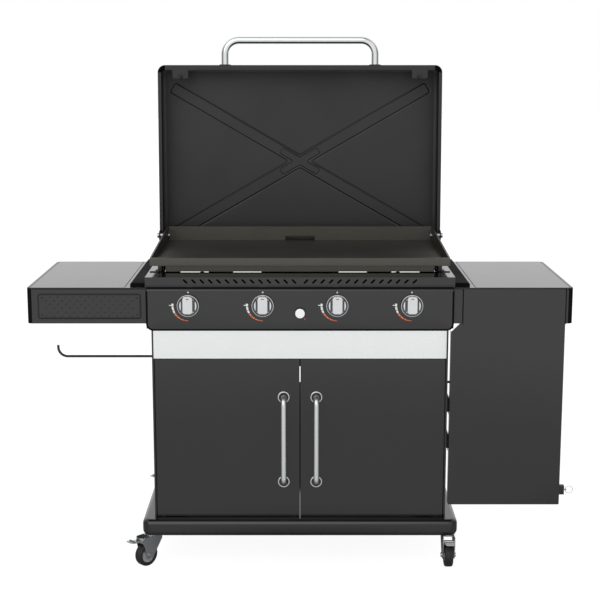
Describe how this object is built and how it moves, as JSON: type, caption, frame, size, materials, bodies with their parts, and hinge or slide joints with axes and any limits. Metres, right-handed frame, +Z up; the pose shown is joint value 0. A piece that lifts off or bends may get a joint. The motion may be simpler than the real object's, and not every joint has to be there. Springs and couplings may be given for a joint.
{
  "type": "outdoor gas griddle station",
  "caption": "Outdoor gas griddle on a wheeled cabinet with hinged lid, side shelves, doors, knobs and tank cover.",
  "frame": {"origin": "on the floor under the middle of the whole outline with the lid open", "axes": "+X to the user's right, +Y from the control panel towards the lid, +Z up"},
  "size_m": [1.674, 0.8259, 1.6425],
  "materials": {
    "black_powder_coat": "satin black powder coat",
    "brushed_stainless": "brushed along its length",
    "chrome_plate": "polished",
    "zinc_plated_steel": "zinc plated",
    "griddle_steel": "rolled steel, oiled",
    "brass_body": "machined",
    "moulded_black_plastic": "fine moulded grain",
    "satin_knob_finish": "satin silver plating on a moulded knob",
    "rubber_bumper": "matt",
    "tyre_rubber": "matt moulded"
  },
  "bodies": {
    "cart": {"base_tray": "black_powder_coat", "caster_plates": "zinc_plated_steel", "cabinet_left_side": "black_powder_coat", "cabinet_right_side": "black_powder_coat", "cabinet_back": "black_powder_coat", "cabinet_shelf": "black_powder_coat", "front_header": "brushed_stainless", "door_hinge_pins": "zinc_plated_steel", "door_magnets": "moulded_black_plastic", "left_shelf": "black_powder_coat", "right_shelf": "black_powder_coat", "tool_rests": "moulded_black_plastic", "apron_plate": "black_powder_coat", "towel_rod": "black_powder_coat", "tank_cover": "black_powder_coat", "tank_bracket": "black_powder_coat", "plunger_housing": "moulded_black_plastic", "firebox_shell": "black_powder_coat", "firebox_floor": "zinc_plated_steel", "vent_rim": "black_powder_coat", "control_panel": "black_powder_coat", "gas_manifold": "zinc_plated_steel", "gas_valves": "brass_body", "burner_tubes": "zinc_plated_steel", "igniter_module": "moulded_black_plastic", "griddle_posts": "zinc_plated_steel", "grease_bracket": "zinc_plated_steel"},
    "griddle": {"griddle_plate": "griddle_steel", "hinge_bolts": "zinc_plated_steel"},
    "lid": {"lid_shell": "black_powder_coat", "lid_handle": "chrome_plate", "lid_bumpers": "rubber_bumper"},
    "grease_cup": {"grease_cup": "zinc_plated_steel"},
    "left_door": {"door_left": "black_powder_coat", "door_left_handle": "brushed_stainless"},
    "right_door": {"door_right": "black_powder_coat", "door_right_handle": "brushed_stainless"},
    "igniter_button": {"igniter_button": "satin_knob_finish"},
    "plunger": {"plunger_pin": "zinc_plated_steel"},
    "pull_ring": {"pull_ring": "chrome_plate"},
    "stem_1": {"valve_stem_1": "brass_body"},
    "knob_1": {"knob_1": "satin_knob_finish"},
    "stem_2": {"valve_stem_2": "brass_body"},
    "knob_2": {"knob_2": "satin_knob_finish"},
    "stem_3": {"valve_stem_3": "brass_body"},
    "knob_3": {"knob_3": "satin_knob_finish"},
    "stem_4": {"valve_stem_4": "brass_body"},
    "knob_4": {"knob_4": "satin_knob_finish"},
    "fork_front_left": {"caster_fork_front_left": "zinc_plated_steel"},
    "wheel_front_left": {"wheel_front_left": "tyre_rubber"},
    "pedal_front_left": {"brake_pedal_front_left": "zinc_plated_steel"},
    "fork_front_right": {"caster_fork_front_right": "zinc_plated_steel"},
    "wheel_front_right": {"wheel_front_right": "tyre_rubber"},
    "pedal_front_right": {"brake_pedal_front_right": "zinc_plated_steel"},
    "fork_rear_left": {"caster_fork_rear_left": "zinc_plated_steel"},
    "wheel_rear_left": {"wheel_rear_left": "tyre_rubber"},
    "pedal_rear_left": {"brake_pedal_rear_left": "zinc_plated_steel"},
    "fork_rear_right": {"caster_fork_rear_right": "zinc_plated_steel"},
    "wheel_rear_right": {"wheel_rear_right": "tyre_rubber"},
    "pedal_rear_right": {"brake_pedal_rear_right": "zinc_plated_steel"}
  },
  "joints": [
    {"name": "griddle_lift", "type": "slide", "parent": "cart", "child": "griddle", "axis": [0, 0, 1], "range_m": [0, 0.06]},
    {"name": "lid_hinge", "type": "hinge", "parent": "griddle", "child": "lid", "pos_m": [-0.011, 0.25204, 0.967], "axis": [1, 0, 0], "range_deg": [0, 93]},
    {"name": "grease_cup_slide", "type": "slide", "parent": "cart", "child": "grease_cup", "axis": [0, 1, 0], "range_m": [0, 0.09]},
    {"name": "left_door_hinge", "type": "hinge", "parent": "cart", "child": "left_door", "pos_m": [-0.4395, -0.31496, 0.4], "axis": [0, 0, -1], "range_deg": [0, 100]},
    {"name": "right_door_hinge", "type": "hinge", "parent": "cart", "child": "right_door", "pos_m": [0.4175, -0.31496, 0.4], "axis": [0, 0, 1], "range_deg": [0, 100]},
    {"name": "igniter_push", "type": "slide", "parent": "cart", "child": "igniter_button", "axis": [0, 1, 0], "range_m": [0, 0.0035], "stiffness_N_per_m": 600},
    {"name": "plunger_pull", "type": "slide", "parent": "cart", "child": "plunger", "axis": [1, 0, 0], "range_m": [0, 0.007], "stiffness_N_per_m": 600},
    {"name": "pull_ring_swing", "type": "hinge", "parent": "plunger", "child": "pull_ring", "pos_m": [0.8135, -0.34796, 0.2515], "axis": [0, 0, 1], "range_deg": [-60, 60]},
    {"name": "knob_push_1", "type": "slide", "parent": "cart", "child": "stem_1", "axis": [0, 1, 0], "range_m": [0, 0.004], "stiffness_N_per_m": 500},
    {"name": "knob_turn_1", "type": "hinge", "parent": "stem_1", "child": "knob_1", "pos_m": [-0.348, -0.40296, 0.8383], "axis": [0, -1, 0], "range_deg": [0, 180]},
    {"name": "knob_push_2", "type": "slide", "parent": "cart", "child": "stem_2", "axis": [0, 1, 0], "range_m": [0, 0.004], "stiffness_N_per_m": 500},
    {"name": "knob_turn_2", "type": "hinge", "parent": "stem_2", "child": "knob_2", "pos_m": [-0.12333, -0.40296, 0.8383], "axis": [0, -1, 0], "range_deg": [0, 180]},
    {"name": "knob_push_3", "type": "slide", "parent": "cart", "child": "stem_3", "axis": [0, 1, 0], "range_m": [0, 0.004], "stiffness_N_per_m": 500},
    {"name": "knob_turn_3", "type": "hinge", "parent": "stem_3", "child": "knob_3", "pos_m": [0.10133, -0.40296, 0.8383], "axis": [0, -1, 0], "range_deg": [0, 180]},
    {"name": "knob_push_4", "type": "slide", "parent": "cart", "child": "stem_4", "axis": [0, 1, 0], "range_m": [0, 0.004], "stiffness_N_per_m": 500},
    {"name": "knob_turn_4", "type": "hinge", "parent": "stem_4", "child": "knob_4", "pos_m": [0.326, -0.40296, 0.8383], "axis": [0, -1, 0], "range_deg": [0, 180]},
    {"name": "swivel_front_left", "type": "hinge", "parent": "cart", "child": "fork_front_left", "pos_m": [-0.476, -0.31996, 0.098], "axis": [0, 0, 1], "continuous": true},
    {"name": "roll_front_left", "type": "hinge", "parent": "fork_front_left", "child": "wheel_front_left", "pos_m": [-0.49439, -0.33834, 0.037], "axis": [0.7071, -0.7071, 0], "continuous": true},
    {"name": "brake_front_left", "type": "hinge", "parent": "fork_front_left", "child": "pedal_front_left", "pos_m": [-0.50428, -0.34824, 0.0837], "axis": [0.7071, -0.7071, 0], "range_deg": [0, 12]},
    {"name": "swivel_front_right", "type": "hinge", "parent": "cart", "child": "fork_front_right", "pos_m": [0.454, -0.31996, 0.098], "axis": [0, 0, 1], "continuous": true},
    {"name": "roll_front_right", "type": "hinge", "parent": "fork_front_right", "child": "wheel_front_right", "pos_m": [0.454, -0.34596, 0.037], "axis": [1, 0, 0], "continuous": true},
    {"name": "brake_front_right", "type": "hinge", "parent": "fork_front_right", "child": "pedal_front_right", "pos_m": [0.454, -0.35996, 0.0837], "axis": [1, 0, 0], "range_deg": [0, 12]},
    {"name": "swivel_rear_left", "type": "hinge", "parent": "cart", "child": "fork_rear_left", "pos_m": [-0.476, 0.34004, 0.098], "axis": [0, 0, 1], "continuous": true},
    {"name": "roll_rear_left", "type": "hinge", "parent": "fork_rear_left", "child": "wheel_rear_left", "pos_m": [-0.49439, 0.32166, 0.037], "axis": [0.7071, -0.7071, 0], "continuous": true},
    {"name": "brake_rear_left", "type": "hinge", "parent": "fork_rear_left", "child": "pedal_rear_left", "pos_m": [-0.50428, 0.31176, 0.0837], "axis": [0.7071, -0.7071, 0], "range_deg": [0, 12]},
    {"name": "swivel_rear_right", "type": "hinge", "parent": "cart", "child": "fork_rear_right", "pos_m": [0.454, 0.34004, 0.098], "axis": [0, 0, 1], "continuous": true},
    {"name": "roll_rear_right", "type": "hinge", "parent": "fork_rear_right", "child": "wheel_rear_right", "pos_m": [0.454, 0.31404, 0.037], "axis": [1, 0, 0], "continuous": true},
    {"name": "brake_rear_right", "type": "hinge", "parent": "fork_rear_right", "child": "pedal_rear_right", "pos_m": [0.454, 0.30004, 0.0837], "axis": [1, 0, 0], "range_deg": [0, 12]}
  ]
}
